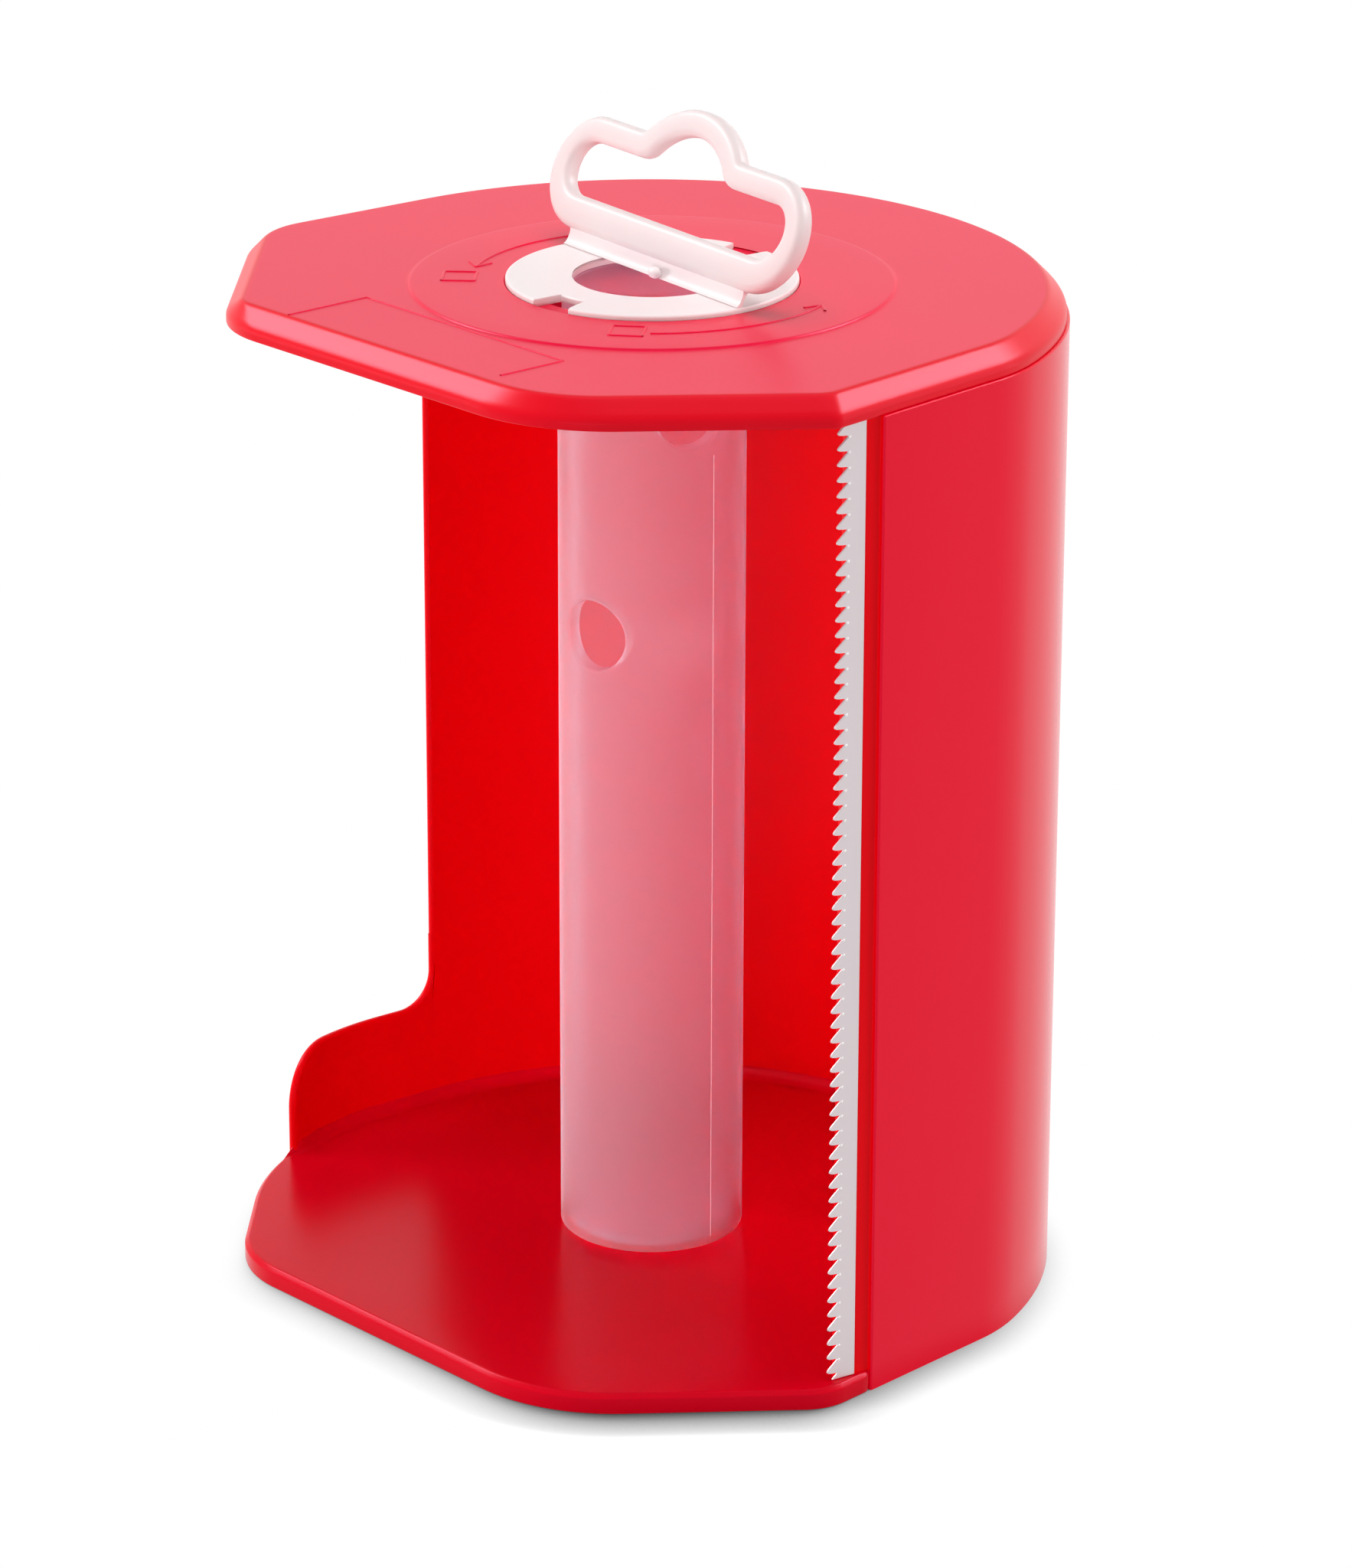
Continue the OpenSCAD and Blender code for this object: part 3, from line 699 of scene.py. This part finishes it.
# lock cap
cap = {"rim": 29.3, "topZ": 211.0, "seatZ": 209.42, "hole": 16.0, "notch": 6.4, "notchW": 9.0, "notchSoft": 0.7,
       "neck": 21.45, "neckZ": 201.3, "lug": 24.85, "lugH": 3.2, "lugW": 9.0, "tubeR": 19.05, "soft": 0.5,
       "around": 900}


# loops of points round the axis: hole, top face, rim with its two notches, underside, neck with its two lugs, bore
def buildCap():
    d, n = cap, cap["around"]
    a = np.arange(n) * 360 / n - 180
    turn = np.abs((a - lid["lugA"] + 90) % 180 - 90)
    half = math.degrees(d["notchW"] / 2 / d["rim"])
    dip = np.clip((half - turn) / d["notchSoft"] + 0.5, 0, 1)
    rim = d["rim"] - d["notch"] * dip * dip * (3 - 2 * dip)
    lug = np.where(turn < math.degrees(math.asin(d["lugW"] / 2 / d["lug"])), d["lug"], d["neck"])

    def loop(r, z):
        r = np.broadcast_to(r, (n,))
        return np.column_stack([unit(a) * r[:, None], np.full(n, z)])

    s, top = d["soft"], d["topZ"]
    loops = [loop(d["hole"], d["seatZ"]), loop(d["hole"], top - s)]
    loops += [loop(d["hole"] + s * (1 - c), top - s * q) for c, q in quarter(5)[::-1]]
    loops += [loop(d["hole"] + 1, top), loop(rim - s - 0.3, top)]
    loops += [loop(rim - s * c, top - s * q) for c, q in quarter(5)]
    loops += [loop(rim, d["seatZ"] + 0.3), loop(rim - 0.3, d["seatZ"])]
    foot, lugTop = d["neckZ"], d["neckZ"] + d["lugH"]
    loops += [loop(d["neck"] + 0.3, d["seatZ"]), loop(d["neck"], d["seatZ"] - 0.3)]
    loops += [loop(d["neck"], lugTop + 0.02), loop(lug, lugTop), loop(lug, foot + 0.2)]
    loops += [loop(lug - 0.2, foot), loop(d["tubeR"] + 0.2, foot), loop(d["tubeR"], foot + 0.2)]
    loops += [loop(d["tubeR"], d["seatZ"] - 0.02)]
    verts = np.concatenate(loops)
    faces = gridFaces(len(loops), n, True, True)
    skin = addMesh("cap_skin", verts, faces, "cap", ["lock_cap"], capPlastic, 40)
    skin.data.materials.append(neckPlastic)
    neck = (verts[:, 2] < d["seatZ"] - 0.01)[np.array(faces)].any(1)
    skin.data.polygons.foreach_set("material_index", neck.astype(np.int32))
    return skin


buildCap()
print("stage: cap")

# handle and its living hinge, in the handle's own plane: u along the hinge, v up, w across
handle = {"hingeA": -53.0, "lean": 65.0, "footZ": 211.0, "width": 81.0, "low": 3.2, "high": 26.7, "band": 5.4,
          "bar": 6.9, "humpR": 20.2, "humpTop": 34.1, "thick": 4.0, "soft": 1.5, "dip": 1.6, "dipIn": 5.5}
hingeX = np.array([*unit(handle["hingeA"]), 0.0])
leanA = math.radians(handle["lean"])
leanV = np.array([*(unit(handle["hingeA"] + 90) * math.cos(leanA)), math.sin(leanA)])
leanN = np.cross(hingeX, leanV)
handleO = np.array([0, 0, handle["footZ"]])


# a place in the handle's plane as a place in the part
def inPlane(u, v, w):
    u, v, w = np.broadcast_arrays(u, v, w)
    return u[..., None] * hingeX + v[..., None] * leanV + w[..., None] * leanN + handleO


# half of the loop, from the middle of the bar round one end to the top of the hump
def halfLoop(halfWidth, low, high, humpR, humpC, fillet):
    r = (high - low) / 2
    endC = np.array([halfWidth - r, low + r])
    bar = np.column_stack([np.linspace(0, endC[0], 30), np.full(30, low)])
    turn = endC + r * unit(np.linspace(-90, 90, 41)[1:])
    # the fillet touches the shoulder and the hump from outside
    rise = high + fillet - humpC
    x = math.sqrt((humpR + fillet) ** 2 - rise ** 2)
    toA = math.degrees(math.atan2(-rise, -x))
    arc = np.array([x, high + fillet]) + fillet * unit(np.linspace(-90, toA, 13))
    shoulder = np.column_stack([np.linspace(endC[0], x, 22)[1:], np.full(21, high)])
    fromA = math.degrees(math.atan2(rise, x))
    hump = np.array([0, humpC]) + humpR * unit(np.linspace(fromA, 90, 31)[1:])
    return np.concatenate([bar, turn, shoulder, arc[1:], hump])


# the half and its mirror image, without the two points they share
def wholeLoop(*args):
    right = halfLoop(*args)
    left = right[1:-1][::-1] * np.array([-1, 1])
    return np.concatenate([right, left])


# directions out of a closed loop, square to it at each of its points
def loopNormals(p):
    t = np.roll(p, -1, 0) - np.roll(p, 1, 0)
    t /= np.linalg.norm(t, axis=1)[:, None]
    return np.column_stack([t[:, 1], -t[:, 0]])


# section across the band at each step round the loop: a rectangle with rounded corners
def buildHandle():
    d = handle
    humpC = d["humpTop"] - d["humpR"]
    outer = wholeLoop(d["width"] / 2, d["low"], d["high"], d["humpR"], humpC, d["dip"])
    inner = wholeLoop(d["width"] / 2 - d["band"], d["low"] + d["bar"], d["high"] - d["band"],
                      d["humpR"] - d["band"], humpC, d["dipIn"])
    no, ni = loopNormals(outer), -loopNormals(inner)
    r, h = d["soft"], d["thick"] / 2
    middle = (outer - no * r) * 0.5 + (inner - ni * r) * 0.5

    # a quarter turn from the band's edge to its face, on one side of the plane
    def corner(path, normal, side):
        turn = np.radians(np.linspace(0, 90, 6))
        return [(path + normal * (r * math.cos(a) - r), side * (h - r + r * math.sin(a))) for a in turn]

    rows = corner(outer, no, -1) + [(middle, -h)] + corner(inner, ni, -1)[::-1]
    rows += corner(inner, ni, 1) + [(middle, h)] + corner(outer, no, 1)[::-1]
    verts = np.concatenate([inPlane(p[:, 0], p[:, 1], w) for p, w in rows])
    return addMesh("handle_skin", verts, [f[::-1] for f in gridFaces(len(rows), len(outer), True, True)],
                   "handle", ["carry_handle"], shadedHandlePlastic, 50)


buildHandle()
web = {"half": 29.0, "thin": 0.35, "foot": 0.9, "rows": 9, "low": -0.25, "over": 0.35, "bends": (0.6, 3.0)}


# thin strip between flange and bar, thicker at its two feet; each row of points is one height
def buildWeb():
    d = web
    v = np.linspace(d["low"], handle["low"] + d["over"], d["rows"])
    f = np.abs(np.linspace(-1, 1, d["rows"]))
    w = d["thin"] + (d["foot"] - d["thin"]) * f ** 3
    u = np.linspace(-d["half"], d["half"], 60)
    rows = [inPlane(u, vi, wi) for vi, wi in zip(v, w)]
    rows += [inPlane(u, vi, -wi) for vi, wi in zip(v[::-1], w[::-1])]
    n = len(u)
    faces = gridFaces(len(rows), n, True, False)
    k = len(rows)
    faces += [[i * n for i in range(k)][::-1], [i * n + n - 1 for i in range(k)]]
    obj = addMesh("web_skin", np.concatenate(rows), [f[::-1] for f in faces],
                  None, ["hinge_web"], capPlastic, 50)
    foot, head = (inPlane(0.0, height, 0.0) * toMetres for height in d["bends"])
    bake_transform(obj)
    return obj


buildWeb()
nub = {"at": (2.4, 0.6, 1.6), "size": (1.6, 1.2, 1.2)}


# the moulding's gate mark: a small ball, flattened, at the middle of the bar's foot
def buildNub():
    t, f = np.meshgrid(np.radians(np.linspace(0, 360, 24, endpoint=False)),
                       np.radians(np.linspace(-86, 86, 11)))
    offset = np.stack([np.cos(f) * np.cos(t), np.cos(f) * np.sin(t), np.sin(f)], -1) * nub["size"]
    u, v, w = (offset + nub["at"]).reshape(-1, 3).T
    rows, cols = t.shape
    faces = gridFaces(rows, cols, False, True) + endFaces(rows, cols)
    return addMesh("gate_nub", inPlane(u, v, w), faces, "handle", [], capPlastic, 60)


buildNub()
print("stage: handle")


# 1 for the rays that show the background: straight from the camera, off gloss, or through a clear piece
def backdropRays(nodes, links):
    path = nodes.new("ShaderNodeLightPath")
    total = path.outputs["Is Camera Ray"]
    for kind in ("Is Glossy Ray", "Is Transmission Ray"):
        both = nodes.new("ShaderNodeMath")
        both.operation = "MAXIMUM"
        links.new(total, both.inputs[0])
        links.new(path.outputs[kind], both.inputs[1])
        total = both.outputs[0]
    return total


floorLook = {"dim": 0.32, "reach": 0.01, "depth": 2.0, "spread": 13.0, "lean": (0.0, 0.8, 0.49)}
floorMat = bpy.data.materials.new("floor")
floorMat.use_nodes = True
nodes, links = floorMat.node_tree.nodes, floorMat.node_tree.links
nodes.clear()
out = nodes.new("ShaderNodeOutputMaterial")
near = nodes.new("ShaderNodeAmbientOcclusion")  # how much of the sky the object hides close by
near.inputs["Distance"].default_value = floorLook["reach"]
near.samples = 16
seen = nodes.new("ShaderNodeEmission")
plain = nodes.new("ShaderNodeBsdfDiffuse")
plain.inputs["Color"].default_value = (floorLook["dim"],) * 3 + (1,)
mix = nodes.new("ShaderNodeMixShader")
deep = nodes.new("ShaderNodeGamma")
deep.inputs["Gamma"].default_value = floorLook["depth"]
links.new(near.outputs["Color"], deep.inputs["Color"])
# the shadow falls to the front and is thin at both sides: the sky is looked for behind and away from the middle
place = nodes.new("ShaderNodeTexCoord")
lean = nodes.new("ShaderNodeVectorMath")
lean.operation = "MULTIPLY_ADD"
lean.inputs[1].default_value = (floorLook["spread"], 0, 0)
lean.inputs[2].default_value = floorLook["lean"]
toward = nodes.new("ShaderNodeVectorMath")
toward.operation = "NORMALIZE"
links.new(place.outputs["Object"], lean.inputs[0])
links.new(lean.outputs[0], toward.inputs[0])
links.new(toward.outputs[0], near.inputs["Normal"])
links.new(deep.outputs[0], seen.inputs["Color"])
links.new(backdropRays(nodes, links), mix.inputs[0])
links.new(plain.outputs[0], mix.inputs[1])
links.new(seen.outputs[0], mix.inputs[2])
links.new(mix.outputs[0], out.inputs[0])
bpy.ops.mesh.primitive_plane_add(size=8.0, location=(0, 0, 0))
floor = bpy.context.object
floor.name = "floor"
floor.data.materials.append(floorMat)

plainLight = 0.2
world = bpy.data.worlds.new("studio")
scene.world = world
world.use_nodes = True
nodes, links = world.node_tree.nodes, world.node_tree.links
nodes.clear()
out = nodes.new("ShaderNodeOutputWorld")


def sky(strength):
    n = nodes.new("ShaderNodeBackground")
    n.inputs["Color"].default_value = (1, 1, 1, 1)
    n.inputs["Strength"].default_value = strength
    return n


# camera, gloss and clear pieces see white, everything else gets the plain light
white = nodes.new("ShaderNodeMixShader")
links.new(backdropRays(nodes, links), white.inputs[0])
links.new(sky(plainLight).outputs[0], white.inputs[1])
links.new(sky(1.0).outputs[0], white.inputs[2])
links.new(white.outputs[0], out.inputs[0])


# an object's matrix from its three axes and its place
def placing(axes, place):
    return Matrix([[*r, p] for r, p in zip(np.stack(axes, 1), place)] + [[0, 0, 0, 1]])


# a soft lamp that faces its target, unseen by the camera and by one other kind of ray
def areaLight(name, place, target, size, power, hidden):
    data = bpy.data.lights.new(name, "AREA")
    data.shape = "RECTANGLE"
    data.size, data.size_y = size
    data.energy = power
    obj = bpy.data.objects.new(name, data)
    scene.collection.objects.link(obj)
    obj.visible_camera = False
    obj.visible_glossy = hidden != "glossy"
    obj.visible_diffuse = hidden != "diffuse"
    place, target = np.array(place, float), np.array(target, float)
    z = place - target
    z /= np.linalg.norm(z)
    x = np.cross([0, 0, 1.0], z)
    x /= np.linalg.norm(x)
    obj.matrix_world = placing([x, np.cross(z, x), z], place)


# place, target and size in metres, power in watts, and the rays that do not see the lamp
lamps = {
    "side_left": ((-0.95, 0.33, 0.95), (0, 0, 0.15), (0.42, 0.42), 8.0, "diffuse"),
    "side_right": ((0.95, 0.33, 0.95), (0, 0, 0.15), (0.42, 0.42), 8.0, "diffuse"),
    "left": ((-1.25, 0.12, 0.25), (0, 0, 0.12), (0.5, 0.4), 10.5, "glossy"),
    "right": ((1.25, 0.15, 0.3), (0, 0, 0.12), (0.5, 0.6), 10.5, "glossy"),
    "back": ((-0.35, 1.45, 0.3), (0, 0, 0.12), (0.9, 0.4), 7.0, "glossy"),
    "front": ((-0.45, -1.6, 0.16), (0, 0, 0.12), (0.9, 0.4), 14.0, "glossy"),
    "top": ((0.0, 0.1, 2.2), (0, 0, 0.2), (1.6, 1.6), 33.0, "glossy"),
}
for lampName, lampValues in lamps.items():
    areaLight(lampName, *lampValues)

# the photograph's camera: place in millimetres, turns in degrees, focal length and height in pixels
view = {"pos": (12.5, -1216.5, 556.5), "yaw": -0.36, "pitch": 20.45, "roll": 0.13,
        "focal": 8273.0, "tall": 2048.0, "sensor": 36.0}
cam = bpy.data.cameras.new("photo_view")
cam.sensor_width = view["sensor"]
cam.lens = view["focal"] / view["tall"] * view["sensor"]
cam.clip_end = 50.0
camObj = bpy.data.objects.new("photo_view", cam)
scene.collection.objects.link(camObj)
yaw, pitch, roll = (math.radians(view[k]) for k in ("yaw", "pitch", "roll"))
ahead = np.array([math.sin(yaw) * math.cos(pitch), math.cos(yaw) * math.cos(pitch), -math.sin(pitch)])
right = np.cross(ahead, [0, 0, 1.0])
right /= np.linalg.norm(right)
up = np.cross(right, ahead)
c, s = math.cos(roll), math.sin(roll)
right, up = c * right + s * up, c * up - s * right
camObj.matrix_world = placing([right, up, -ahead], np.array(view["pos"]) * toMetres)
scene.camera = camObj

scene.view_settings.view_transform = "Standard"
print("stage: light and camera")
